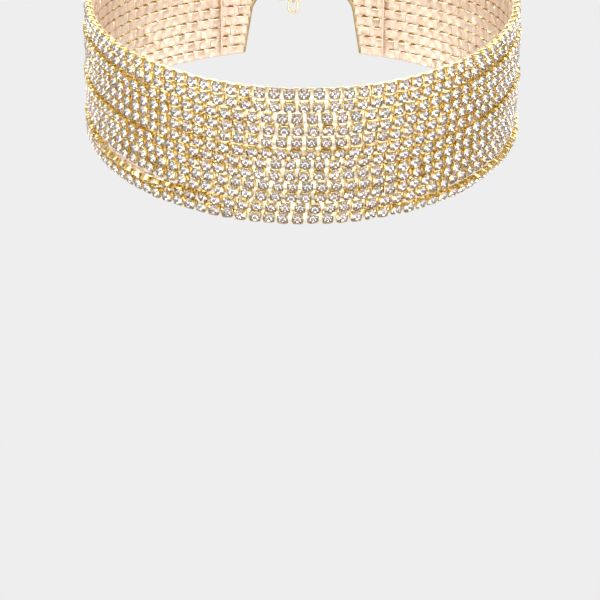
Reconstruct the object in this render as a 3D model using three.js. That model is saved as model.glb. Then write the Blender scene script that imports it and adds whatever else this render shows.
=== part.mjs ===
// A twelve-row rhinestone choker in millimetres, +Z up, with the front of the neck towards -Y.
// Twelve strands of cup chain lie one above the other between two end bars. An extender chain and a
// lobster clasp close the loop at the back. The origin is the middle of the loop, at half the band's height.

import * as THREE from "three";

// The loop seen from above, through the middle of the cups: an egg of two half ellipses.
const loopHalfWidth = 53.3;
const loopFrontDepth = 62.0;
const loopBackDepth = 47.8;

// The strands. Each one is a plain bar round its row of cups, and the gap is what lies between two rows.
const strandCount = 12;
const strandHeight = 2.5;
const strandDepth = 2.2;
const strandGap = 0.3;
const strandSteps = 48;
const strandSides = 8;

// Wires that touch on the real necklace keep this much air between them, and soldered pieces the seat gap.
const clearance = 0.15;
const seatGap = 0.3;

// The end bars: thin plates across the ends of the strands, with a loop at half height.
const barWidth = 1.3;
const barThickness = 1.1;
const barLean = 2.8;
const barLoopRadius = 1.75;
const barLoopReach = 0.6;
const barHoleRadius = 0.9;
const barFlare = 4.4;

// The spacer wires, soldered across the backs of the strands near both ends.
const spacerRadius = 0.3;
const spacerInset = 6.0;
const spacerEndRoom = 0.9;

// The extender chain: oval links of round wire, each turned a quarter against the next.
const linkHalfLength = 2.0;
const linkHalfWidth = 1.25;
const linkWireRadius = 0.33;
const linkWireSides = 6;
const linkSteps = 14;
const linksInLine = 5;

// The clasp and the ring that holds it.
const claspThickness = 1.2;
const claspJawWall = 1.0;
const claspJawHalfLength = 1.75;
const claspJawHalfHeight = 1.3;
const claspNeck = 0.45;
const claspTailWall = 0.5;
const claspTailHoleRadius = 0.85;
const ringRadius = 1.5;
const ringWireRadius = 0.35;

// How the strands wave, row by row from the top. lift is up, as a share of the gap between two strands.
// proud is outwards, as a share of a strand's depth. Each is given left of the front, at it and right of it.
const strandWaves = [
  { liftLeft: 0.4, liftFront: -0.8, liftRight: 0.4, proudLeft: 0.0, proudFront: 0.0, proudRight: 0.0 },
  { liftLeft: 0.6, liftFront: -1.2, liftRight: 0.6, proudLeft: -0.05, proudFront: 0.2, proudRight: -0.05 },
  { liftLeft: -0.1, liftFront: -1.5, liftRight: -0.1, proudLeft: 0.18, proudFront: 0.12, proudRight: 0.18 },
  { liftLeft: 0.1, liftFront: -1.4, liftRight: 0.1, proudLeft: 0.12, proudFront: 0.3, proudRight: 0.12 },
  { liftLeft: 0.3, liftFront: -1.9, liftRight: 0.3, proudLeft: 0.08, proudFront: 0.25, proudRight: 0.08 },
  { liftLeft: 0.5, liftFront: -2.1, liftRight: 0.5, proudLeft: 0.0, proudFront: 0.42, proudRight: 0.0 },
  { liftLeft: -0.4, liftFront: -1.5, liftRight: -0.1, proudLeft: 0.26, proudFront: 0.2, proudRight: 0.22 },
  { liftLeft: -0.2, liftFront: -1.4, liftRight: 0.1, proudLeft: 0.2, proudFront: 0.34, proudRight: 0.16 },
  { liftLeft: 0.1, liftFront: -1.6, liftRight: 0.3, proudLeft: 0.12, proudFront: 0.16, proudRight: 0.12 },
  { liftLeft: 0.4, liftFront: -1.0, liftRight: 0.5, proudLeft: 0.0, proudFront: 0.26, proudRight: 0.06 },
  { liftLeft: -0.7, liftFront: -1.4, liftRight: 0.7, proudLeft: 0.28, proudFront: 0.08, proudRight: 0.0 },
  { liftLeft: -0.4, liftFront: -0.8, liftRight: -0.4, proudLeft: 0.22, proudFront: 0.14, proudRight: 0.3 },
];
const waveSpread = THREE.MathUtils.degToRad(65);

const plateColour = 0xe0b45c;
const plateLook = { color: plateColour, metalness: 1.0, roughness: 0.25 };
const strandLook = { color: 0xe6d3b0, metalness: 0.8, roughness: 0.3 };

const strandSpacing = strandHeight + strandGap;
const bandHeight = strandCount * strandHeight + (strandCount - 1) * strandGap;
const linkPitch = 2 * (linkHalfLength - linkWireRadius) - clearance;

// A wire through a plate's hole rests half way between the hole's middle and its edge.
const wireSeat = (holeRadius, wireRadius) => (holeRadius - wireRadius) / 2;

// How far a link's round end bends back over half the clasp's thickness.
const linkEndBend = linkHalfWidth - Math.sqrt(linkHalfWidth ** 2 - (claspThickness / 2) ** 2);

// The clasp's tail, and its length from the wall of the jaw's tip to the tail's hole.
const claspTailRadius = claspTailHoleRadius + claspTailWall;
const claspReach = claspJawWall / 2 + 2 * claspJawHalfLength + claspNeck + claspTailHoleRadius;

// Steps from the left end bar's hole to the right one: ring, clasp, and the extender from the clasp's jaw.
const holeToRing = wireSeat(barHoleRadius, ringWireRadius) + ringRadius;
const ringToTail = ringRadius + wireSeat(claspTailHoleRadius, ringWireRadius);
const jawToLink = linkHalfLength - linkWireRadius - clearance - linkEndBend - claspJawWall / 2;
const linkToHole = linkHalfLength + wireSeat(barHoleRadius, linkWireRadius);
const extenderSpan = (linksInLine - 1) * linkPitch;
const closureSpan = holeToRing + ringToTail + claspReach + jawToLink + extenderSpan + linkToHole;

// Places along the back of the loop, measured along its curve from the middle of the back, right positive.
const barHolePlace = closureSpan / 2;
const bandEndPlace = barHolePlace + barLoopReach + barWidth + barLean;
const ringPlace = -barHolePlace + holeToRing;
const claspTailPlace = ringPlace + ringToTail;
const claspJawPlace = claspTailPlace + claspReach;
const firstLinkPlace = claspJawPlace + jawToLink;

// The loop's angle is 0 at the front, grows towards the right and is pi at the middle of the back.
const angleAtPlace = (place) => Math.PI - place / loopHalfWidth;

function loopPoint(angle) {
  const depth = Math.cos(angle) > 0 ? loopFrontDepth : loopBackDepth;
  return new THREE.Vector3(loopHalfWidth * Math.sin(angle), -depth * Math.cos(angle), 0);
}

// The direction of growing angle along the loop.
function loopAlong(angle) {
  const depth = Math.cos(angle) > 0 ? loopFrontDepth : loopBackDepth;
  return new THREE.Vector3(loopHalfWidth * Math.cos(angle), depth * Math.sin(angle), 0).normalize();
}

function loopOutward(angle) {
  const along = loopAlong(angle);
  return new THREE.Vector3(along.y, -along.x, 0);
}

// A raised cosine between the values left of the front, at it and right of it, fading to 0 at the back.
function wave(angle, left, front, right) {
  const bump = (centre) => {
    const away = Math.min(Math.abs(angle - centre) / waveSpread, 1);
    return Math.cos((away * Math.PI) / 2) ** 2;
  };
  return left * bump(-waveSpread) + front * bump(0) + right * bump(waveSpread);
}

const rowHeight = (row) => ((strandCount - 1) / 2 - row) * strandSpacing;

// How far the end bar's inner edge leans over the corner of the band, at a height.
const barEdge = (height) => barLean * (1 - Math.abs(height) / (bandHeight / 2));

// A strand's middle line, from the left end bar round the front to the right one.
class StrandPath extends THREE.Curve {
  constructor(row) {
    super();
    this.waves = strandWaves[row];
    this.height = rowHeight(row);
    this.endAngle = angleAtPlace(bandEndPlace - barEdge(this.height) + seatGap);
  }

  getPoint(share, target = new THREE.Vector3()) {
    const angle = (2 * share - 1) * this.endAngle;
    const w = this.waves;
    const lift = strandGap * wave(angle, w.liftLeft, w.liftFront, w.liftRight);
    const proud = strandDepth * wave(angle, w.proudLeft, w.proudFront, w.proudRight);
    target.copy(loopPoint(angle)).addScaledVector(loopOutward(angle), proud);
    target.z = this.height + lift;
    return target;
  }
}

// A strand's section: x runs across the strand in height, y in depth.
function strandSection() {
  const corner = 1 / Math.cos(Math.PI / strandSides);
  const points = [];
  for (let side = 0; side < strandSides; side++) {
    const turn = ((side + 0.5) / strandSides) * 2 * Math.PI;
    points.push(
      new THREE.Vector2(
        (strandHeight / 2) * corner * Math.cos(turn),
        (strandDepth / 2) * corner * Math.sin(turn),
      ),
    );
  }
  return new THREE.Shape(points);
}

function strandGeometry(row) {
  return new THREE.ExtrudeGeometry(strandSection(), {
    steps: strandSteps,
    extrudePath: new StrandPath(row),
  });
}

// The plate's outline: x runs towards the opening from the corner of the band, y is the height.
function endBarGeometry() {
  const half = bandHeight / 2;
  const holeX = barLean + barWidth + barLoopReach;
  const flareX = barWidth + barEdge(barFlare);
  const outline = new THREE.Shape();
  outline.moveTo(0, -half);
  outline.lineTo(barWidth, -half);
  outline.lineTo(flareX, -barFlare);
  outline.quadraticCurveTo(holeX - barLoopReach / 2, -barLoopRadius, holeX, -barLoopRadius);
  outline.absarc(holeX, 0, barLoopRadius, -Math.PI / 2, Math.PI / 2, false);
  outline.quadraticCurveTo(holeX - barLoopReach / 2, barLoopRadius, flareX, barFlare);
  outline.lineTo(barWidth, half);
  outline.lineTo(0, half);
  outline.lineTo(barLean, 0);
  const hole = new THREE.Path();
  hole.absarc(holeX, 0, barHoleRadius, 0, 2 * Math.PI, true);
  outline.holes.push(hole);
  return plate(outline, barThickness);
}

// The clasp's outline: x runs from the wall of the jaw's tip towards the tail, y is the height.
function claspGeometry() {
  const jawX = claspJawWall / 2 + claspJawHalfLength;
  const neckTurn = THREE.MathUtils.degToRad(40);
  const tailTurn = THREE.MathUtils.degToRad(125);
  const outline = new THREE.Shape();
  outline.absellipse(
    jawX,
    0,
    claspJawHalfLength + claspJawWall,
    claspJawHalfHeight + claspJawWall,
    neckTurn,
    2 * Math.PI - neckTurn,
    false,
    0,
  );
  outline.absarc(claspReach, 0, claspTailRadius, -tailTurn, tailTurn, false);
  const jaw = new THREE.Path();
  jaw.absellipse(jawX, 0, claspJawHalfLength, claspJawHalfHeight, 0, 2 * Math.PI, true, 0);
  const tailHole = new THREE.Path();
  tailHole.absarc(claspReach, 0, claspTailHoleRadius, 0, 2 * Math.PI, true);
  outline.holes.push(jaw, tailHole);
  return plate(outline, claspThickness);
}

// A flat plate of the outline, with its mid-plane at z = 0.
function plate(outline, thickness) {
  const geometry = new THREE.ExtrudeGeometry(outline, {
    depth: thickness,
    bevelEnabled: false,
    curveSegments: 8,
  });
  return geometry.translate(0, 0, -thickness / 2);
}

// A link is a ring whose two halves are moved apart along x.
function linkGeometry() {
  const geometry = new THREE.TorusGeometry(linkHalfWidth, linkWireRadius, linkWireSides, linkSteps);
  const points = geometry.getAttribute("position");
  for (let i = 0; i < points.count; i++) {
    points.setX(i, points.getX(i) + Math.sign(points.getX(i)) * (linkHalfLength - linkHalfWidth));
  }
  return geometry;
}

const choker = new THREE.Group();

// Adds a piece with its local x, y and z axes along the three directions given.
function add(name, geometry, look, position, xAxis, yAxis) {
  const mesh = new THREE.Mesh(geometry, new THREE.MeshStandardMaterial(look));
  mesh.name = name;
  mesh.position.copy(position);
  const zAxis = new THREE.Vector3().crossVectors(xAxis, yAxis);
  mesh.quaternion.setFromRotationMatrix(new THREE.Matrix4().makeBasis(xAxis, yAxis, zAxis));
  choker.add(mesh);
}

const up = new THREE.Vector3(0, 0, 1);
const right = new THREE.Vector3(1, 0, 0);
const back = new THREE.Vector3(0, 1, 0);
const centre = new THREE.Vector3(0, 0, 0);

function addStrands() {
  for (let row = 0; row < strandCount; row++) {
    const name = `strand_${String(row + 1).padStart(2, "0")}`;
    add(name, strandGeometry(row), strandLook, centre, right, back);
  }
}

// Each end bar lies flat along the loop at its hole, with its own x axis towards the opening.
function addEndBars() {
  const holeX = barLean + barWidth + barLoopReach;
  for (const [name, side] of [["end_bar_left", -1], ["end_bar_right", 1]]) {
    const angle = angleAtPlace(side * (bandEndPlace + barHolePlace) / 2);
    const along = loopAlong(angle).multiplyScalar(side);
    const corner = loopPoint(angle).addScaledVector(along, -holeX / 2);
    add(name, endBarGeometry(), plateLook, corner, along, up);
  }
}

// The spacer wires stand upright against the strands' inner faces and end a little inside the band's edges.
function addSpacers() {
  const height = bandHeight - 2 * spacerEndRoom;
  for (const [name, side] of [["spacer_wire_left", -1], ["spacer_wire_right", 1]]) {
    const angle = angleAtPlace(side * (bandEndPlace + spacerInset));
    const inward = strandDepth / 2 + seatGap + spacerRadius;
    const position = loopPoint(angle).addScaledVector(loopOutward(angle), -inward);
    const wire = new THREE.CylinderGeometry(spacerRadius, spacerRadius, height, 10);
    add(name, wire, plateLook, position, right, up);
  }
}

// The position and directions at a place along the back, for what closes the loop.
function backFrame(place) {
  const angle = angleAtPlace(place);
  return { point: loopPoint(angle), along: loopAlong(angle).negate(), outward: loopOutward(angle) };
}

// The links in line lie flat and upright in turn, the first of them in the clasp's jaw.
function addExtender() {
  for (let link = 0; link < linksInLine; link++) {
    const frame = backFrame(firstLinkPlace + link * linkPitch);
    const across = link % 2 === 0 ? frame.outward : up;
    add(`extender_link_${link + 1}`, linkGeometry(), plateLook, frame.point, frame.along, across);
  }
}

// The chain's free end: two more links, which hang from the outer side of the first one.
function addTail() {
  const frame = backFrame(firstLinkPlace + (claspJawWall + linkEndBend) / 2 - linkWireRadius);
  const hook = frame.point.clone().addScaledVector(frame.outward, linkHalfWidth);
  const upper = hook.clone().addScaledVector(up, 2 * linkWireRadius + clearance - linkHalfLength);
  const lower = upper.clone().addScaledVector(up, -linkPitch);
  add("tail_link_1", linkGeometry(), plateLook, upper, up, frame.outward);
  add("tail_link_2", linkGeometry(), plateLook, lower, up, frame.along);
}

// The clasp lies flat along the loop, with its jaw to the right, and a ring holds its tail to the left end bar.
function addClasp() {
  const middle = backFrame((claspJawPlace + claspTailPlace) / 2);
  const jaw = middle.point.clone().addScaledVector(middle.along, claspReach / 2);
  add("lobster_clasp", claspGeometry(), plateLook, jaw, middle.along.clone().negate(), up);
  const frame = backFrame(ringPlace);
  const ring = new THREE.TorusGeometry(ringRadius, ringWireRadius, linkWireSides, linkSteps);
  add("clasp_ring", ring, plateLook, frame.point, frame.along, frame.outward);
}

addStrands();
addEndBars();
addSpacers();
addClasp();
addExtender();
addTail();

export default choker;
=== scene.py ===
import math

import bpy
import numpy as np
from mathutils import Matrix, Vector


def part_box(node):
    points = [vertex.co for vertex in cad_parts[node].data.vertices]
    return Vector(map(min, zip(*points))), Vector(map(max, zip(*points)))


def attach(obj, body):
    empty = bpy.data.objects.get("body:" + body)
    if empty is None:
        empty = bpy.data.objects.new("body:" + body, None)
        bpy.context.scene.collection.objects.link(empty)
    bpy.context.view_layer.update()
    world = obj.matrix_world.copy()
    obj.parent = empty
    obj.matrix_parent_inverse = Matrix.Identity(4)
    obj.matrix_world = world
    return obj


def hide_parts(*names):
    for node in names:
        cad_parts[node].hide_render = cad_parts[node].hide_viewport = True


# Choker of twelve rows of cup chain, +Z up, with the front towards -Y. Sizes here are in millimetres.

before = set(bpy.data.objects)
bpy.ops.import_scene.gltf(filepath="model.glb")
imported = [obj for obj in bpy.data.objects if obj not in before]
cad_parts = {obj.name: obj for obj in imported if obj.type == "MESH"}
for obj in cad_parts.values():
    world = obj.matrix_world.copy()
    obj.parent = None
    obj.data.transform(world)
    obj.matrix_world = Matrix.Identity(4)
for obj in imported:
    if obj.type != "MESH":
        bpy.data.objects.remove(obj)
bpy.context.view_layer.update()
mm = 0.001
print("frame loaded")

# Camera, at the photo's height and distance, looking down past the middle of the choker
photoCamera = {
    "place": (0.0, -558.7, 218.7),
    "lookDown": 27.25,  # degrees below the horizon
    "roll": 0.48,
    "lens": 141.96,  # for a sensor 36 mm wide
}


def makeCamera():
    data = bpy.data.cameras.new("photoCamera")
    data.lens = photoCamera["lens"]
    data.clip_end = 50
    camera = bpy.data.objects.new("photoCamera", data)
    tilt = Matrix.Rotation(math.radians(90 - photoCamera["lookDown"]), 4, "X")
    roll = Matrix.Rotation(math.radians(photoCamera["roll"]), 4, "Z")
    camera.matrix_world = Matrix.Translation([mm * v for v in photoCamera["place"]]) @ tilt @ roll
    bpy.context.collection.objects.link(camera)
    bpy.context.scene.camera = camera


makeCamera()
print("camera set")


sharpAngle = 40  # degrees between two faces whose edge stays sharp


# A part of a piece is (vertices, [faces, ...], material, smooth). Each faces array has a row for each
# polygon, and material is one index for them all or one for each array.
def makePiece(name, parts, materials, nodes=(), tints=None):
    points, corners, starts, totals, slots, smooth = [], [], [], [], [], []
    firstPoint, firstCorner = 0, 0
    for vertices, faceArrays, materialIndex, isSmooth in parts:
        for faces, index in zip(faceArrays, np.broadcast_to(materialIndex, len(faceArrays))):
            count, sides = faces.shape
            corners.append(faces.ravel() + firstPoint)
            starts.append(firstCorner + sides * np.arange(count))
            totals.append(np.full(count, sides))
            slots.append(np.full(count, index))
            smooth.append(np.full(count, isSmooth))
            firstCorner += count * sides
        points.append(vertices)
        firstPoint += len(vertices)
    points = np.concatenate(points) * mm
    starts, corners = np.concatenate(starts), np.concatenate(corners)
    mesh = bpy.data.meshes.new(name)
    mesh.vertices.add(len(points))
    mesh.vertices.foreach_set("co", points.ravel())
    mesh.loops.add(len(corners))
    mesh.loops.foreach_set("vertex_index", corners)
    mesh.polygons.add(len(starts))
    mesh.polygons.foreach_set("loop_start", starts)
    mesh.polygons.foreach_set("loop_total", np.concatenate(totals))
    mesh.polygons.foreach_set("material_index", np.concatenate(slots))
    mesh.polygons.foreach_set("use_smooth", np.concatenate(smooth))
    mesh.update(calc_edges=True)
    mesh.set_sharp_from_angle(angle=math.radians(sharpAngle))
    if tints is not None:
        mesh.attributes.new("tint", "FLOAT", "POINT").data.foreach_set("value", tints)
    for material in materials:
        mesh.materials.append(material)
    piece = bpy.data.objects.new(name, mesh)
    bpy.context.collection.objects.link(piece)
    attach(piece, "root")
    if nodes:
        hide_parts(*nodes)
    return piece


# Many copies of a part: each vertex becomes its copy's origin + x, y and z times that copy's three axes
def copies(part, origins, axes, stretch=None):
    vertices, faceArrays, materialIndex, isSmooth = part
    local = np.broadcast_to(vertices, (len(origins), *vertices.shape))
    if stretch is not None:
        local = local * stretch[:, None, :]
    placed = origins[:, None, :] + np.einsum("nvk,nkj->nvj", local, axes)
    shift = (len(vertices) * np.arange(len(origins)))[:, None, None]
    repeated = [(faces[None] + shift).reshape(-1, faces.shape[1]) for faces in faceArrays]
    return placed.reshape(-1, 3), repeated, materialIndex, isSmooth


# The quads between closed rings of vertices, and a polygon on each end unless the rings close on themselves
def skin(rings, sides, closed=False):
    ring, side = np.meshgrid(np.arange(rings if closed else rings - 1), np.arange(sides), indexing="ij")
    low, high = ring * sides, (ring + 1) % rings * sides
    after = (side + 1) % sides
    faces = [np.stack([low + side, low + after, high + after, high + side], axis=-1).reshape(-1, 4)]
    if not closed:
        faces.append(np.arange(sides)[None, ::-1])
        faces.append((rings - 1) * sides + np.arange(sides)[None])
    return faces


# Sections carried along a path: a section's point is the path's point, plus across times the half width
# times the cosine, plus up times the half height times the sine. A power under 1 squares the section off.
def sweep(path, across, up, halfWidth, halfHeight, sides=16, closed=False, power=1.0):
    turn = (np.arange(sides) + 0.5) * 2 * np.pi / sides
    c = np.sign(np.cos(turn)) * np.abs(np.cos(turn)) ** power
    s = np.sign(np.sin(turn)) * np.abs(np.sin(turn)) ** power
    wide = np.broadcast_to(halfWidth, len(path))[:, None, None] * c[:, None] * across[:, None]
    high = np.broadcast_to(halfHeight, len(path))[:, None, None] * s[:, None] * up[:, None]
    rings = path[:, None] + wide + high
    return rings.reshape(-1, 3), skin(len(path), sides, closed), 0, True


# The same along a path drawn flat in the plane of two directions, with the width in that plane
def flatSweep(origin, xAxis, yAxis, path, halfWidth, halfHeight, sides=16, closed=False, power=1.0):
    ahead = np.roll(path, -1, axis=0) - np.roll(path, 1, axis=0) if closed else np.gradient(path, axis=0)
    ahead = ahead / np.linalg.norm(ahead, axis=1, keepdims=True)
    across = ahead[:, 1:] * xAxis - ahead[:, :1] * yAxis
    up = np.broadcast_to(-np.cross(xAxis, yAxis), across.shape)
    points = origin + path @ np.stack([xAxis, yAxis])
    return sweep(points, across, up, halfWidth, halfHeight, sides, closed, power)


# Materials

# A hex colour as linear light: each channel over 255, with the sRGB curve taken off
def linear(hexColour):
    value = np.array([int(hexColour[i:i + 2], 16) / 255 for i in (1, 3, 5)])
    value = np.where(value <= 0.04045, value / 12.92, ((value + 0.055) / 1.055) ** 2.4)
    return (*value, 1.0)


# Adds one node. Settings are its properties or, by name with _ for a space, its inputs, and links go to its
# inputs. Stops are a ramp's places and colours, the first and last of which it has from the start.
def addNode(owner, kind, links, stops=(), **settings):
    nodeTree = owner.node_tree
    node = nodeTree.nodes.new(kind)
    for key, value in settings.items():
        if hasattr(node, key):
            setattr(node, key, value)
        else:
            node.inputs[key.replace("_", " ")].default_value = value
    for key, source in links.items():
        nodeTree.links.new(source, node.inputs[key])
    if stops:
        elements = node.color_ramp.elements
        for element, (place, colour) in zip(elements, (stops[0], stops[-1])):
            element.position, element.color = place, linear(colour)
        for place, colour in stops[1:-1]:
            elements.new(place).color = linear(colour)
    return node


# A new material and its shader, with what is the same all over the surface set on the shader's own inputs
def newMaterial(name, **settings):
    material = bpy.data.materials.new(name)
    material.use_nodes = True
    shader = material.node_tree.nodes["Principled BSDF"]
    for key, value in settings.items():
        shader.inputs[key.replace("_", " ")].default_value = value
    return material, shader


plateFinish = {
    "ownShare": 0.4,  # how much a cup's own tone counts beside the clouds
    "rub": (0.6, 1.5),  # shares of the roughness, where the plate is brightest and dullest
}


# Gold plate on brass: mirror-like, paler where the plate is thin and warmer where it is thick, a little
# duller in places, and uneven, because the brass under it was worked and tumbled. Cloud and dent sizes are in
# mm. Real dents are mostly finer than 0.1 mm, and are drawn coarser so that they show. A piece's own tone,
# such as a cup's, is its tint attribute.
def platedGold(name, colours, roughness, cloudSize, dentSize, dentDepth):
    material, shader = newMaterial(name, Metallic=1.0)
    link = material.node_tree.links.new
    place = addNode(material, "ShaderNodeTexCoord", {}).outputs["Object"]
    clouds = addNode(material, "ShaderNodeTexNoise", {"Vector": place},
                     Scale=1 / (cloudSize * mm), Detail=3.0)
    cloud = clouds.outputs["Fac"]
    own = addNode(material, "ShaderNodeAttribute", {}, attribute_name="tint").outputs["Fac"]
    tones = {"A": cloud, "B": own}
    tone = addNode(material, "ShaderNodeMix", tones, Factor=plateFinish["ownShare"]).outputs["Result"]
    plate = addNode(material, "ShaderNodeValToRGB", {"Fac": tone}, colours)
    link(plate.outputs["Color"], shader.inputs["Base Color"])
    least, most = [share * roughness for share in plateFinish["rub"]]
    rub = addNode(material, "ShaderNodeMapRange", {"Value": cloud}, To_Min=least, To_Max=most)
    link(rub.outputs["Result"], shader.inputs["Roughness"])
    dents = addNode(material, "ShaderNodeTexNoise", {"Vector": place},
                    Scale=1 / (dentSize * mm), Detail=2.0)
    relief = addNode(material, "ShaderNodeBump", {"Height": dents.outputs["Fac"]},
                     Strength=1.0, Distance=dentDepth * mm)
    link(relief.outputs["Normal"], shader.inputs["Normal"])
    return material


glassFinish = {
    "colours": ((0, "#C8BEB6"), (0.5, "#C2B6B4"), (1, "#BABAB8")),
    "ior": 1.56,  # of lead-free crystal
    "markSize": 0.4,
    "roughness": (0.0, 0.06),
}
foilFinish = {
    "colours": ((0.2, "#E6E2DE"), (0.5, "#F0EDEA"), (0.8, "#F8F6F4")),
    "cloudSize": 0.6,
    "roughness": (0.12, 0.3),
}


# Cut glass, fire polished: clear, faintly warm or grey from stone to stone, with soft polishing marks, which
# are drawn coarser than real ones so that they show
def cutGlass():
    material, shader = newMaterial("cutGlass", IOR=glassFinish["ior"], Transmission_Weight=1.0)
    link = material.node_tree.links.new
    own = addNode(material, "ShaderNodeAttribute", {}, attribute_name="tint").outputs["Fac"]
    melt = addNode(material, "ShaderNodeValToRGB", {"Fac": own}, glassFinish["colours"])
    link(melt.outputs["Color"], shader.inputs["Base Color"])
    place = addNode(material, "ShaderNodeTexCoord", {}).outputs["Object"]
    marks = addNode(material, "ShaderNodeTexNoise", {"Vector": place},
                    Scale=1 / (glassFinish["markSize"] * mm), Detail=2.0)
    least, most = glassFinish["roughness"]
    rub = addNode(material, "ShaderNodeMapRange", {"Value": marks.outputs["Fac"]}, To_Min=least, To_Max=most)
    link(rub.outputs["Result"], shader.inputs["Roughness"])
    return material


# Foil on the backs of the stones, chemically silvered, which sends the light back out of the front
def silverFoil():
    material, shader = newMaterial("silverFoil", Metallic=1.0)
    link = material.node_tree.links.new
    place = addNode(material, "ShaderNodeTexCoord", {}).outputs["Object"]
    clouds = addNode(material, "ShaderNodeTexNoise", {"Vector": place},
                     Scale=1 / (foilFinish["cloudSize"] * mm), Detail=2.0)
    silver = addNode(material, "ShaderNodeValToRGB", {"Fac": clouds.outputs["Fac"]}, foilFinish["colours"])
    link(silver.outputs["Color"], shader.inputs["Base Color"])
    least, most = foilFinish["roughness"]
    rub = addNode(material, "ShaderNodeMapRange", {"Value": clouds.outputs["Fac"]}, To_Min=least, To_Max=most)
    link(rub.outputs["Result"], shader.inputs["Roughness"])
    return material


glass = cutGlass()
foil = silverFoil()

# Cups and prongs, stamped and barrel polished: bright, and deep amber where they mirror each other
cupGold = platedGold("polishedGoldPlate", ((0, "#EFDBAB"), (0.5, "#E2C784"), (1, "#C6A650")),
                     roughness=0.24, cloudSize=1.6, dentSize=0.7, dentDepth=0.02)
# The strips' fronts, rolled flat under a thin plate: paler and smoother than the cups
stripGold = platedGold("rolledGoldPlate", ((0, "#F8F0DC"), (1, "#F0E2C2")),
                       roughness=0.28, cloudSize=1.6, dentSize=0.9, dentDepth=0.01)
# The backs and the spacer wires, which no one polished: satin, and painted paler and rosier than the cups as
# a highlight of the bright light on them
backGoldPaintedHighlight = platedGold("satinGoldPlatePaintedHighlight", ((0, "#ECDCC9"), (0.5, "#E0C9B3"), (1, "#C9AE95")),
                      roughness=0.44, cloudSize=1.6, dentSize=0.4, dentDepth=0.02)
# The end bars, spin cast: a slightly grainy skin, and a darker, greener colour that is painted shade
barGoldPaintedShade = platedGold("castGoldPlatePaintedShade", ((0, "#B8A078"), (1, "#8E7650")),
                     roughness=0.34, cloudSize=2.4, dentSize=0.5, dentDepth=0.02)
# The links and the ring, drawn wire: smooth and bright
wireGold = platedGold("drawnGoldPlate", ((0, "#F2DCB0"), (1, "#DDBB80")),
                      roughness=0.24, cloudSize=1.2, dentSize=0.3, dentDepth=0.008)
# The clasp, cast small and tumbled bright: softer edges of light than the wire
claspGold = platedGold("tumbledGoldPlate", ((0, "#F2DCB0"), (1, "#DDBB80")),
                       roughness=0.26, cloudSize=1.6, dentSize=0.4, dentDepth=0.012)
print("materials made")


# The loop that the rows follow, as the frame has it: an egg of two half ellipses
loop = {
    "halfWidth": 53.3,
    "frontDepth": 62.0,
    "backDepth": 47.8,
    "rowPitch": 2.8,
    "gap": 0.3,
    "depth": 2.2,
    "spread": 65,  # degrees over which a wave rises and falls
    "barPlace": 17.37,  # from the middle of the back to the top row's end
    "barLean": 2.8,
    "bandHeight": 33.3,
    "samples": 6001,  # points along a row's line
    "near": 0.2,  # how far to each side of a place its direction is measured
}

# One line for each row from the top. lift and proud are shares of the gap and the depth, as in the frame,
# at the left, front and right. phase moves the row's stones along, in mm, and turn is how far they face down,
# in degrees.
rowColumns = ("phase liftLeft liftFront liftRight proudLeft proudFront proudRight "
              "turnLeft turnFront turnRight").split()
rowTable = [
    (0.55, 0.4, -0.8, 0.4, 0.0, 0.0, 0.0, -4, -8, -4),
    (0.68, 0.6, -1.2, 0.6, -0.05, 0.2, -0.05, -4, 8, -4),
    (-1.03, -0.1, -1.5, -0.1, 0.18, 0.12, 0.18, 12, 0, 12),
    (-0.64, 0.1, -1.4, 0.1, 0.12, 0.3, 0.12, 4, 8, 4),
    (-1.03, 0.3, -1.9, 0.3, 0.08, 0.25, 0.08, 0, 2, 0),
    (-1.14, 0.5, -2.1, 0.5, 0.0, 0.42, 0.0, -4, 14, -4),
    (0.94, -0.4, -1.5, -0.1, 0.26, 0.2, 0.22, 18, 2, 16),
    (0.68, -0.2, -1.4, 0.1, 0.2, 0.34, 0.16, 6, 8, 4),
    (1.46, 0.1, -1.6, 0.3, 0.12, 0.16, 0.12, 0, 0, 0),
    (1.07, 0.4, -1.0, 0.5, 0.0, 0.26, 0.06, -4, 10, -4),
    (-0.11, -0.7, -1.4, 0.7, 0.28, 0.08, 0.0, 24, 2, -6),
    (-0.64, -0.4, -0.8, -0.4, 0.22, 0.14, 0.3, 8, 4, 34),
]
rows = [dict(zip(rowColumns, line)) for line in rowTable]
wavePlaces = ("Left", "Front", "Right")


# The squared cosine of how far the angle is from the left, front and right places, each times its value
def wave(angle, left, front, right):
    spread = math.radians(loop["spread"])
    total = 0
    for centre, value in ((-spread, left), (0, front), (spread, right)):
        away = np.minimum(np.abs(angle - centre) / spread, 1)
        total = total + value * np.cos(away * np.pi / 2) ** 2
    return total


# A row's height: a pitch for each row, counted up and down from the middle of the band
def rowHeight(row):
    return ((len(rows) - 1) / 2 - row) * loop["rowPitch"]


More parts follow.
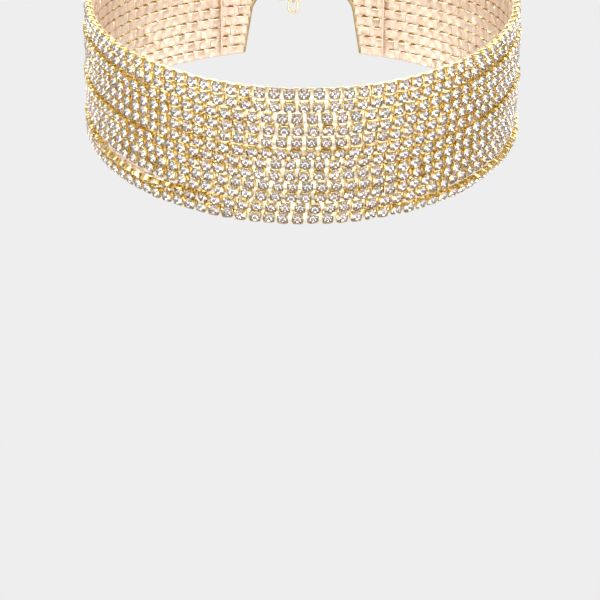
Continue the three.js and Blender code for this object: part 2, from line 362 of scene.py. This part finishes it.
# x = half width times the sine and y = minus depth times the cosine of the angle, moved outwards and up by
# the row's waves. It gives the middle line, its outward direction and its angle, at the lengths asked for,
# or else the first and last length.
def rowLine(row, lengths=None):
    values = rows[row]
    height = rowHeight(row)
    endPlace = loop["barPlace"] - loop["barLean"] * (1 - abs(height) / (loop["bandHeight"] / 2))
    end = math.pi - endPlace / loop["halfWidth"]
    angle = np.linspace(-end, end, loop["samples"])
    depth = np.where(np.cos(angle) > 0, loop["frontDepth"], loop["backDepth"])
    x, y = loop["halfWidth"] * np.sin(angle), -depth * np.cos(angle)
    point = np.stack([x, y, np.full_like(angle, height)], axis=1)
    outward = np.stack([depth * np.sin(angle), -loop["halfWidth"] * np.cos(angle), 0 * angle], axis=1)
    outward /= np.linalg.norm(outward, axis=1, keepdims=True)
    proud = loop["depth"] * wave(angle, *[values["proud" + place] for place in wavePlaces])
    point += outward * proud[:, None]
    point[:, 2] += loop["gap"] * wave(angle, *[values["lift" + place] for place in wavePlaces])
    step = np.linalg.norm(np.diff(point, axis=0), axis=1)
    along = np.concatenate([[0], np.cumsum(step)])
    along -= along[len(along) // 2]
    if lengths is None:
        return along[0], along[-1]

    def atLengths(table):
        return np.stack([np.interp(lengths, along, table[:, axis]) for axis in range(3)], axis=1)

    return atLengths(point), atLengths(outward), np.interp(lengths, along, angle)


# Axes of the places along a row: x runs along it, z outwards and y up
def rowAxes(row, lengths):
    point, outward, angle = rowLine(row, lengths)
    ahead = rowLine(row, lengths + loop["near"])[0] - rowLine(row, lengths - loop["near"])[0]
    xAxis = ahead / np.linalg.norm(ahead, axis=1, keepdims=True)
    zAxis = outward - xAxis * np.sum(outward * xAxis, axis=1, keepdims=True)
    zAxis /= np.linalg.norm(zAxis, axis=1, keepdims=True)
    return point, np.stack([xAxis, np.cross(zAxis, xAxis), zAxis], axis=1), angle


# Short stretches where a row is twisted much further: row is its number from the top, and centre and spread
# are angles round the loop, in degrees
twists = [
    {"row": 11, "centre": -45, "spread": 26, "turn": 54},
]


# How far a row faces down, in radians: its wave, and in a twist the twist's turn times the squared cosine of
# how far the angle is from its centre
def faceDown(row, angle):
    degrees = wave(angle, *[rows[row]["turn" + place] for place in wavePlaces])
    for twist in twists:
        if twist["row"] == row + 1:
            away = np.minimum(np.abs(np.degrees(angle) - twist["centre"]) / twist["spread"], 1)
            degrees = degrees + twist["turn"] * np.cos(away * np.pi / 2) ** 2
    return np.radians(degrees)


# Turns each place's axes about its own x, y or z axis by its own angle, in radians
def turned(axes, about, angles):
    one, two = (about + 1) % 3, (about + 2) % 3
    result = axes.copy()
    c, s = np.cos(angles)[:, None], np.sin(angles)[:, None]
    result[:, one] = c * axes[:, one] + s * axes[:, two]
    result[:, two] = c * axes[:, two] - s * axes[:, one]
    return result


# The stones: round brilliants with a table, 8 kites, 8 stars and 16 halves above the girdle
stone = {
    "radius": 1.36,
    "girdle": 0.46,  # height of the girdle over the row's middle line
    "crown": 0.52,
    "table": 0.56,  # share of the radius
    "pavilion": 1.22,
    "starReach": 0.78,
    "lowerReach": 0.3,
}


# Points on 8 spokes, or halfway between them: share times the cosine and the sine, at one height
def spokes(share, height, half=0):
    turn = (np.arange(8) + half / 2) * np.pi / 4
    return np.stack([share * np.cos(turn), share * np.sin(turn), np.full(8, height)], axis=1)


# A kite's plane runs from the girdle on its spoke to the table's edge, or to the tip below, and the star and
# lower points lie on it, so their heights are those of the plane at their reach times the cosine of 22.5
# degrees.
def stonePart():
    radius, crownHeight, tableShare = stone["radius"], stone["crown"], stone["table"]
    halfTurn = math.cos(math.pi / 8)
    starHeight = crownHeight * (1 - stone["starReach"] * halfTurn) / (1 - tableShare)
    lowerHeight = -stone["pavilion"] * (1 - stone["lowerReach"] * halfTurn)
    spoke = np.arange(8)
    after, before = (spoke + 1) % 8, (spoke - 1) % 8
    vertices = np.concatenate([
        spokes(tableShare, crownHeight), spokes(stone["starReach"], starHeight, 1),
        spokes(1, 0), spokes(1, 0, 1),
        spokes(stone["lowerReach"], lowerHeight, 1), [[0, 0, -stone["pavilion"]]],
    ]) * [radius, radius, 1] + [0, 0, stone["girdle"]]
    table, star, girdle, between, lower = [8 * ring + spoke for ring in range(5)]
    tip = np.full(8, len(vertices) - 1)
    crown = [
        table[None],
        np.stack([table, star, table[after]], axis=1),
        np.stack([table, star[before], girdle, star], axis=1),
        np.stack([star, girdle, between], axis=1),
        np.stack([star, between, girdle[after]], axis=1),
    ]
    below = [
        np.stack([girdle, lower[before], tip, lower], axis=1),
        np.stack([girdle, lower, between], axis=1),
        np.stack([between, lower, girdle[after]], axis=1),
    ]
    return vertices, crown + below, [0] * len(crown) + [1] * len(below), False


# The cups: stamped square with round corners, dished underneath, with a thin rim and a cone for the stone
cup = {
    "cornerPoints": 3,
    # height over the row's middle line, half width and corner radius, from underneath to the rim and inside
    "profile": (
        (-0.9, 0.45, 0.4), (-1.04, 1.0, 0.4), (-0.8, 1.22, 0.5),
        (0.42, 1.39, 0.8), (0.44, 1.31, 0.76), (-0.8, 0.3, 0.2),
    ),
    "backBands": 2,  # how many bands of the profile are satin and painted paler as a highlight, from the back up
    "stripPoint": 2,  # the profile's point at the strips' level
    # a prong's middle line: distance from the cup's middle, height, half its width and half its thickness
    "prong": ((1.56, 0.0, 0.24, 0.07), (1.52, 0.62, 0.2, 0.07), (1.14, 0.82, 0.11, 0.05)),
}


# A square with round corners: each corner's arc is its middle + the corner radius times the cosine and sine
def roundedSquare(half, radius, perCorner):
    corner, step = np.meshgrid(np.arange(4), np.linspace(0, 1, perCorner), indexing="ij")
    turn = (corner + step).ravel() * np.pi / 2
    middle = (corner.ravel() + 0.5) * np.pi / 2
    reach = (half - radius) * math.sqrt(2)
    return np.stack([reach * np.cos(middle) + radius * np.cos(turn),
                     reach * np.sin(middle) + radius * np.sin(turn)], axis=1)


# A cup is a rounded square at each height of the profile, skinned from underneath up to the rim and down the
# inside to the cone
def cupPart():
    rings = []
    for height, half, radius in cup["profile"]:
        outline = roundedSquare(half, radius, cup["cornerPoints"])
        rings.append(np.column_stack([outline, np.full(len(outline), height)]))
    quads, bottom, inside = skin(len(rings), len(rings[0]))
    back = cup["backBands"] * len(rings[0])
    return np.concatenate(rings), [quads[:back], bottom, quads[back:], inside], (1, 1, 0, 0), True


# A prong stands on the cup's diagonal and bends in over the stone, with a section of four sides
def prongPart(corner):
    turn = (corner + 0.5) * np.pi / 2
    radial = np.array([math.cos(turn), math.sin(turn), 0])
    across = np.array([-math.sin(turn), math.cos(turn), 0])
    distance, height, halfWidth, halfThickness = np.array(cup["prong"]).T
    line = distance[:, None] * radial + height[:, None] * np.array([0, 0, 1])
    ahead = np.gradient(line, axis=0)
    outer = np.cross(ahead / np.linalg.norm(ahead, axis=1, keepdims=True), across)
    return sweep(line, np.broadcast_to(across, line.shape), outer, halfWidth * math.sqrt(2),
                 halfThickness * math.sqrt(2), sides=4)


# The strips between the cups: flat bars with rounded edges and satin backs painted paler as a highlight,
# reaching a little into the cups
strip = {
    "height": 2.66,
    "thickness": 0.34,
    "level": -0.8,  # height over the row's middle line
    "overlap": 0.3,  # into each cup
    "lap": 0.7,  # past the row's ends, on to the end bars
    "sides": 12,
    "power": 0.7,
}


# A straight sweep one unit long, which is stretched to each gap. Its first half of sides are its front.
def stripPart():
    line = np.array([[-0.5, 0, strip["level"]], [0.5, 0, strip["level"]]])
    across, up = np.array([[0.0, 1.0, 0.0]] * 2), np.array([[0.0, 0.0, 1.0]] * 2)
    sides = strip["sides"]
    vertices, (quads, first, last), _, isSmooth = sweep(
        line, across, up, strip["height"] / 2, strip["thickness"] / 2, sides, power=strip["power"])
    back, front = quads[sides // 2:-1], np.concatenate([quads[:sides // 2], quads[-1:]])
    return vertices, [back, front, first, last], (1, 2, 2, 2), isSmooth


chain = {
    "pitch": 3.4,
    "endRoom": 1.5,  # from the row's end to its last stone's middle
    "roll": 4.5,  # the loose cups' own turns, in degrees
    "yaw": 4.5,
    "spin": 3.0,
    "shift": 0.05,
    "seed": 11,
}


# Where the stones of a row lie along it: one at the phase, and the others a pitch apart to both ends. Each
# side's pitch is made a little longer or shorter, so that a whole number of stones fills it.
def stonePlaces(first, last, phase):
    left, right = phase - first - chain["endRoom"], last - chain["endRoom"] - phase
    leftCount, rightCount = round(left / chain["pitch"]), round(right / chain["pitch"])
    leftPlaces = phase - left * np.arange(leftCount, 0, -1) / leftCount
    return np.concatenate([leftPlaces, phase + right * np.arange(rightCount + 1) / rightCount])


# Each row's cups, prongs and strips are one piece and its stones another, and each cup leans its own way
def makeRows():
    random = np.random.default_rng(chain["seed"])
    baseHalf = cup["profile"][cup["stripPoint"]][1]
    cutStone, joiningStrip = stonePart(), stripPart()
    settings = [cupPart()] + [prongPart(corner) for corner in range(4)]
    for row, values in enumerate(rows):
        first, last = rowLine(row)
        lengths = stonePlaces(first, last, values["phase"])
        origins, axes, angle = rowAxes(row, lengths)
        count = len(lengths)
        roll, yaw, spin = [np.radians(random.normal(0, chain[way], count)) for way in ("roll", "yaw", "spin")]
        axes = turned(turned(turned(axes, 0, faceDown(row, angle) + roll), 1, yaw), 2, spin)
        origins = origins + random.normal(0, chain["shift"], origins.shape)

        ends = np.concatenate([[first - strip["lap"]], lengths, [last + strip["lap"]]])
        reach = np.concatenate([[0], np.full(count, baseHalf - strip["overlap"]), [0]])
        starts, stops = (ends + reach)[:-1], (ends - reach)[1:]
        stripOrigins, stripAxes, stripAngle = rowAxes(row, (starts + stops) / 2)
        stripAxes = turned(stripAxes, 0, faceDown(row, stripAngle))
        stretch = np.stack([stops - starts, np.ones_like(starts), np.ones_like(starts)], axis=1)

        metal = [copies(part, origins, axes) for part in settings]
        metal.append(copies(joiningStrip, stripOrigins, stripAxes, stretch))
        plate = random.random(count)
        tints = [np.repeat(plate, len(part[0])) for part in settings]
        tints.append(np.zeros(len(metal[-1][0])))
        number = f"{row + 1:02d}"
        # The second gold, for the cups' back bands and the strips' backs, is paler and rosier: a painted
        # highlight
        golds = [cupGold, backGoldPaintedHighlight, stripGold]
        makePiece("cupRow" + number, metal, golds, ["strand_" + number], np.concatenate(tints))
        tint = random.random(count)
        makePiece("stoneRow" + number, [copies(cutStone, origins, axes)], [glass, foil],
                  tints=np.repeat(tint, len(cutStone[0])))


makeRows()
print("rows of stones made")


# The back of the loop at a place given by its x: its point, its direction to the right and its outward one
def backFrame(x):
    sine = x / loop["halfWidth"]
    cosine = -math.sqrt(1 - sine * sine)
    along = np.array([-loop["halfWidth"] * cosine, -loop["backDepth"] * sine, 0])
    along /= np.linalg.norm(along)
    return np.array([x, -loop["backDepth"] * cosine, 0]), along, np.array([-along[1], along[0], 0])


upright = np.array([0.0, 0.0, 1.0])


# The middle of a CAD node's box, in mm
def boxMiddle(node):
    low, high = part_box(node)
    return (np.array(low) + np.array(high)) / 2 / mm


# A rounded bead: a sphere's x, y and z times its own three half sizes, cut flat at its poles
def beadPart(x, y, z):
    turn = np.arange(8) * np.pi / 4
    latitude = np.radians([18, 50, 90, 130, 162])
    rings = np.stack([
        x * np.sin(latitude)[:, None] * np.cos(turn),
        y * np.sin(latitude)[:, None] * np.sin(turn),
        np.repeat(-z * np.cos(latitude)[:, None], 8, axis=1),
    ], axis=-1)
    return rings.reshape(-1, 3), skin(len(latitude), 8), 0, True


# The end bars: plates that lean towards a loop at half height, with the rows' last strips soldered on behind
endBar = {
    "halfHeight": loop["bandHeight"] / 2,
    "width": 1.3,
    "thickness": 1.1,
    "lean": loop["barLean"],
    "flare": 4.4,  # height at which the bar starts to widen towards the loop
    "loopMiddle": 4.7,  # from the bar's corner
    "loopRadius": 1.75,
    "holeRadius": 0.9,
    "place": 14.718,  # along the back, where the bar's middle touches the loop's line
    "tip": 0.25,  # length over which the ends are rounded off
    "tipShare": 0.7,  # of the width and thickness that the ends keep
    "eyeTurn": 0.6,  # how far the ring goes round the hole to each side, in half turns
    "sides": 20,
    "barPower": 0.45,
    "eyePower": 0.6,
    "solder": (0.7, 0.6, 0.28),  # a bead's half sizes
    "solderInset": 0.3,
    "solderDepth": 0.62,  # behind the bar's middle
}


# The bar runs between two edges. The rows' edge leans by the lean times the height's share, and the loop's
# edge widens by the square of the way from the flare to the loop, and goes round the hole.
def makeEndBars():
    half, flare, holeX, tip = [endBar[key] for key in ("halfHeight", "flare", "loopMiddle", "tip")]
    hole, outer = endBar["holeRadius"], endBar["loopRadius"]
    above = np.concatenate([
        hole * np.sin(np.linspace(0, np.pi / 2, 7)), np.linspace(hole, outer, 4)[1:],
        np.linspace(outer, flare, 9)[1:], np.linspace(flare, half - tip, 14)[1:], [half - tip / 3, half],
    ])
    height = np.concatenate([-above[:0:-1], above])
    size = np.abs(height)
    rowsEdge = endBar["lean"] * (1 - size / half)
    share = np.clip((flare - size) / (flare - outer), 0, 1)
    flared = rowsEdge + endBar["width"] + (holeX - rowsEdge - endBar["width"]) * share ** 2
    loopEdge = np.where(size < hole, holeX - np.sqrt(np.maximum(hole ** 2 - size ** 2, 0)), flared)
    shrink = endBar["tipShare"] + (1 - endBar["tipShare"]) * np.sqrt(np.clip((half - size) / tip, 0, 1))
    turn = np.linspace(-endBar["eyeTurn"], endBar["eyeTurn"], 33) * np.pi
    ringRadius = (hole + outer) / 2
    ring = np.stack([holeX + ringRadius * np.cos(turn), ringRadius * np.sin(turn)], axis=1)
    bead = beadPart(*endBar["solder"])
    for name, side in (("left", -1), ("right", 1)):
        x = loop["halfWidth"] * math.sin(endBar["place"] / loop["halfWidth"]) * side
        point, along, outward = backFrame(x)
        xAxis, yAxis = -along * side, upright
        corner = point - xAxis * holeX / 2
        middle = corner + ((rowsEdge + loopEdge) / 2)[:, None] * xAxis + height[:, None] * yAxis
        across = np.broadcast_to(xAxis, middle.shape)
        up = np.broadcast_to(-np.cross(xAxis, yAxis), middle.shape)
        wide, thick = (loopEdge - rowsEdge) / 2, endBar["thickness"] / 2
        bar = sweep(middle, across, up, wide * shrink, thick * shrink, endBar["sides"],
                    power=endBar["barPower"])
        eye = flatSweep(corner, xAxis, yAxis, ring, (outer - hole) / 2, thick, endBar["sides"],
                        power=endBar["eyePower"])
        rowHeights = np.array([rowHeight(row) for row in range(len(rows))])
        edge = endBar["lean"] * (1 - np.abs(rowHeights) / half) + endBar["solderInset"]
        origins = corner + edge[:, None] * xAxis + rowHeights[:, None] * yAxis
        origins -= endBar["solderDepth"] * outward
        axes = np.stack([[xAxis, yAxis, np.cross(xAxis, yAxis)]] * len(origins))
        parts = [bar, eye, copies(bead, origins, axes)]
        # The bars' darker, greener gold is painted shade
        makePiece("endBar" + name.title(), parts, [barGoldPaintedShade], ["end_bar_" + name])


# The spacer wires: round wires across the rows' backs, with solder on each row
spacer = {
    "radius": 0.3,
    "halfHeight": 15.75,
    "solder": (0.5, 0.45, 0.3),
    "solderDepth": 0.35,  # outwards from the wire's middle
}


# The wire's radius shrinks at its ends as a ball's does
def makeSpacers():
    half, radius = spacer["halfHeight"], spacer["radius"]
    tipTurn = np.linspace(1.35, 0, 5)
    tip = half - radius * (1 - np.sin(tipTurn))
    height = np.concatenate([-tip, tip[::-1]])
    thick = radius * np.concatenate([np.cos(tipTurn), np.cos(tipTurn)[::-1]])
    rowPlaces = np.array([[0, 0, rowHeight(row)] for row in range(len(rows))])
    bead = beadPart(*spacer["solder"])
    for name in ("left", "right"):
        middle = boxMiddle("spacer_wire_" + name)
        _, along, outward = backFrame(middle[0])
        line = middle + height[:, None] * upright
        across, up = np.broadcast_to(along, line.shape), np.broadcast_to(outward, line.shape)
        wire = sweep(line, across, up, thick, thick)
        axes = np.stack([[along, upright, -outward]] * len(rowPlaces))
        solder = copies(bead, middle + spacer["solderDepth"] * outward + rowPlaces, axes)
        nodes = ["spacer_wire_" + name]
        makePiece("spacerWire" + name.title(), [wire, solder], [backGoldPaintedHighlight], nodes)


# The jump ring and the extender's links: round wire bent round and closed with a butt joint
wires = {
    "linkHalfLength": 2.0,  # to the middle of the wire
    "linkHalfWidth": 1.25,
    "linkRadius": 0.33,
    "ringHalfWidth": 1.5,
    "ringRadius": 0.35,
    "joint": 0.015,  # half the joint's opening
    "steps": 17,  # for each half turn
    "lineLinks": 5,
}


# The middle line is a circle whose halves are moved apart, from one side of the joint round to the other
def wireLoop(middle, xAxis, yAxis, halfLength, halfWidth, wireRadius):
    steps = wires["steps"]
    turn = np.concatenate([np.linspace(0.5, 1.5, steps), np.linspace(1.5, 2.5, steps)]) * np.pi
    shift = np.repeat([-1, 1], steps) * (halfLength - halfWidth)
    path = np.stack([halfWidth * np.cos(turn) + shift, halfWidth * np.sin(turn)], axis=1)
    if halfLength > halfWidth:
        path = np.concatenate([[[-wires["joint"], halfWidth]], path, [[wires["joint"], halfWidth]]])
    else:
        path = np.delete(path, steps, axis=0)
        path[[0, -1], 0] += (-wires["joint"], wires["joint"])
    return flatSweep(middle, xAxis, yAxis, path, wireRadius, wireRadius)


# The links lie along the back, each turned a quarter against the next, and the tail links hang from the first
def makeWires():
    length, width, radius = [wires[key] for key in ("linkHalfLength", "linkHalfWidth", "linkRadius")]
    for number in range(1, wires["lineLinks"] + 1):
        middle = boxMiddle(f"extender_link_{number}")
        _, along, outward = backFrame(middle[0])
        across = outward if number % 2 else upright
        loopPart = wireLoop(middle, along, across, length, width, radius)
        nodes = [f"extender_link_{number}"]
        makePiece(f"extenderLink{number}", [loopPart], [wireGold], nodes)
    for number in (1, 2):
        middle = boxMiddle(f"tail_link_{number}")
        _, along, outward = backFrame(middle[0])
        loopPart = wireLoop(middle, upright, outward if number == 1 else along, length, width, radius)
        makePiece(f"tailLink{number}", [loopPart], [wireGold], [f"tail_link_{number}"])
    middle = boxMiddle("clasp_ring")
    _, along, outward = backFrame(middle[0])
    width, radius = wires["ringHalfWidth"], wires["ringRadius"]
    ring = wireLoop(middle, along, outward, width, width, radius)
    makePiece("claspRing", [ring], [wireGold], ["clasp_ring"])


# The lobster clasp: a claw round the jaw, a trigger on a rivet that closes it, and a ring for a tail
clasp = {
    "jawMiddle": 2.25,  # from the middle of the tip's wall, as the tail is
    "jawHalfLength": 1.75,
    "jawHalfHeight": 1.3,
    "wall": 1.0,
    "neck": 0.45,
    "neckSpread": 45,  # degrees over which the wall thins to the neck
    "tailMiddle": 5.3,
    "tailRadius": 1.35,
    "tailHoleRadius": 0.85,
    "thickness": 1.2,
    "tailShare": 0.9,  # of the thickness, as the next ones are
    "clawShares": (0.8, 1.0),
    "triggerShare": 0.62,
    "triggerWall": 0.8,  # share of the wall
    "boxMiddle": 3.075,
    "claw": (142, 404),  # degrees round the jaw from the tail, over the top
    "trigger": (40, 139),
    # a tip: share of the length over which it is rounded off, and the square of what its end keeps
    "clawTip": (0.04, 0.15),
    "triggerTip": (0.06, 0.2),
    "clawSteps": 73,
    "triggerSteps": 33,
    "tailSteps": 40,
    "clawSides": 20,
    "clawPower": 0.75,
    "tailPower": 0.8,
    "thumbTurn": 66,
    "thumbLean": -28.6,
    # the thumb piece: distance out from the trigger, half width and half thickness
    "thumb": (
        (0.0, 0.5, 0.36), (0.4, 0.36, 0.36), (0.75, 0.34, 0.42), (0.95, 0.26, 0.34), (1.02, 0.1, 0.12),
    ),
    "rivetTurn": 47,
    # the rivet: depth as a share of half the clasp's, and radius
    "rivet": ((-1.08, 0.15), (-1.04, 0.27), (-0.95, 0.32), (0.95, 0.32), (1.04, 0.27), (1.08, 0.15)),
}


# Round the jaw: an ellipse, moved outwards by half the wall, which thins to the neck's at the tail
def jawPath(degrees, wallShare=1.0):
    turn = np.radians(degrees)
    fromTail = np.abs((np.asarray(degrees) + 180) % 360 - 180)
    thin = np.cos(np.minimum(fromTail / clasp["neckSpread"], 1) * np.pi / 2) ** 2
    wall = (clasp["wall"] - (clasp["wall"] - clasp["neck"]) * thin) * wallShare
    halfLength, halfHeight = clasp["jawHalfLength"] + wall / 2, clasp["jawHalfHeight"] + wall / 2
    x = clasp["jawMiddle"] + halfLength * np.cos(turn)
    return np.stack([x, halfHeight * np.sin(turn)], axis=-1), wall / 2


# What is left of a half size along a bar with rounded ends: the square root of the way in from each end as
# a share of the tip's length, or of least at the ends themselves
def roundedEnds(share, tip, least):
    return np.sqrt(np.clip(share / tip, least, 1) * np.clip((1 - share) / tip, least, 1))


# The claw and the trigger follow the jaw, the thumb piece leans off the trigger, and the tail is a circle
def makeClasp():
    middle = boxMiddle("lobster_clasp")
    _, along, _ = backFrame(middle[0])
    xAxis, yAxis = -along, upright
    origin = middle - clasp["boxMiddle"] * xAxis
    half = clasp["thickness"] / 2

    share = np.linspace(0, 1, clasp["clawSteps"])
    path, halfWall = jawPath(np.interp(share, (0, 1), clasp["claw"]))
    ends = roundedEnds(share, *clasp["clawTip"])
    depth = half * np.interp(share, (0, 1), clasp["clawShares"])
    claw = flatSweep(origin, xAxis, yAxis, path, halfWall * ends, depth * ends, clasp["clawSides"],
                     power=clasp["clawPower"])

    share = np.linspace(0, 1, clasp["triggerSteps"])
    path, halfWall = jawPath(np.interp(share, (0, 1), clasp["trigger"]), clasp["triggerWall"])
    ends = roundedEnds(share, *clasp["triggerTip"])
    depth = half * clasp["triggerShare"]
    trigger = flatSweep(origin, xAxis, yAxis, path, halfWall * ends, depth * ends, clasp["clawSides"],
                        power=clasp["clawPower"])

    lean = math.radians(clasp["thumbTurn"] + clasp["thumbLean"])
    distance, thumbWidth, thumbDepth = np.array(clasp["thumb"]).T
    path = jawPath(clasp["thumbTurn"])[0] + distance[:, None] * np.array([math.cos(lean), math.sin(lean)])
    thumb = flatSweep(origin, xAxis, yAxis, path, thumbWidth, thumbDepth, power=clasp["tailPower"])

    turn = np.linspace(0, 2 * np.pi, clasp["tailSteps"], endpoint=False)
    tailWall = clasp["tailRadius"] - clasp["tailHoleRadius"]
    path = (clasp["tailRadius"] - tailWall / 2) * np.stack([np.cos(turn), np.sin(turn)], axis=1)
    path[:, 0] += clasp["tailMiddle"]
    depth = half * clasp["tailShare"]
    tail = flatSweep(origin, xAxis, yAxis, path, tailWall / 2, depth, closed=True, power=clasp["tailPower"])

    place = jawPath(clasp["rivetTurn"])[0]
    depth, radius = np.array(clasp["rivet"]).T
    rivetMiddle = origin + place[0] * xAxis + place[1] * yAxis
    line = rivetMiddle + half * depth[:, None] * np.cross(xAxis, yAxis)
    across, up = np.broadcast_to(xAxis, line.shape), np.broadcast_to(yAxis, line.shape)
    rivet = sweep(line, across, up, radius, radius)
    parts = [claw, trigger, thumb, tail, rivet]
    makePiece("lobsterClasp", parts, [claspGold], ["lobster_clasp"])


makeEndBars()
makeSpacers()
makeWires()
makeClasp()
print("end bars, spacer wires and closure made")


# Stage: a wide pale floor far below, lit evenly through itself, a dim room over it and large soft lamps
stage = {
    "floorDrop": 600.0,
    "floorSize": 12000.0,
    "floorColour": "#EEEEEE",
    # the room's brightness by the sine of the height over the horizon
    "room": ((0.0, "#EEEEEE"), (0.12, "#EEEEEE"), (0.3, "#C2BCB6"), (0.75, "#C4BEB8"), (1.0, "#FFFFFF")),
}


def makeStage():
    half, z = stage["floorSize"] / 2 * mm, -stage["floorDrop"] * mm
    mesh = bpy.data.meshes.new("floor")
    corners = [(-half, -half, z), (half, -half, z), (half, half, z), (-half, half, z)]
    mesh.from_pydata(corners, [], [(0, 1, 2, 3)])
    floor = bpy.data.objects.new("floor", mesh)
    bpy.context.collection.objects.link(floor)
    material, _ = newMaterial("litAcrylicFloor", Base_Color=linear("#000000"), Roughness=1.0,
                              Specular_IOR_Level=0.0, Emission_Color=linear(stage["floorColour"]),
                              Emission_Strength=1.0)
    mesh.materials.append(material)
    world = bpy.data.worlds.new("studio")
    world.use_nodes = True
    place = addNode(world, "ShaderNodeTexCoord", {}).outputs["Generated"]
    height = addNode(world, "ShaderNodeSeparateXYZ", {"Vector": place}).outputs["Z"]
    room = addNode(world, "ShaderNodeValToRGB", {"Fac": height}, stage["room"])
    world.node_tree.links.new(room.outputs["Color"], world.node_tree.nodes["Background"].inputs["Color"])
    bpy.context.scene.world = world


# Each lamp: its place, its width and height in metres, and its power in watts. All of them face the choker.
lamps = {
    "topBox": ((0.0, -0.1, 1.3), (1.3, 1.0), 24),
    "leftBox": ((-1.2, -0.5, 0.25), (0.9, 1.2), 18),
    "rightBox": ((1.2, -0.5, 0.25), (0.9, 1.2), 18),
    "lowBox": ((0.0, -1.2, -0.5), (1.6, 0.35), 7),
    "backBox": ((0.0, 1.4, 0.1), (1.6, 0.5), 9),
}


def makeLamps():
    for name, (place, size, power) in lamps.items():
        data = bpy.data.lights.new(name, "AREA")
        data.shape = "RECTANGLE"
        data.size, data.size_y = size
        data.energy = power
        lamp = bpy.data.objects.new(name, data)
        lamp.location = place
        lamp.rotation_euler = (-lamp.location).to_track_quat("-Z", "Y").to_euler()
        bpy.context.collection.objects.link(lamp)


makeStage()
makeLamps()
print("stage and lamps made")

bpy.context.scene.view_settings.view_transform = "Standard"
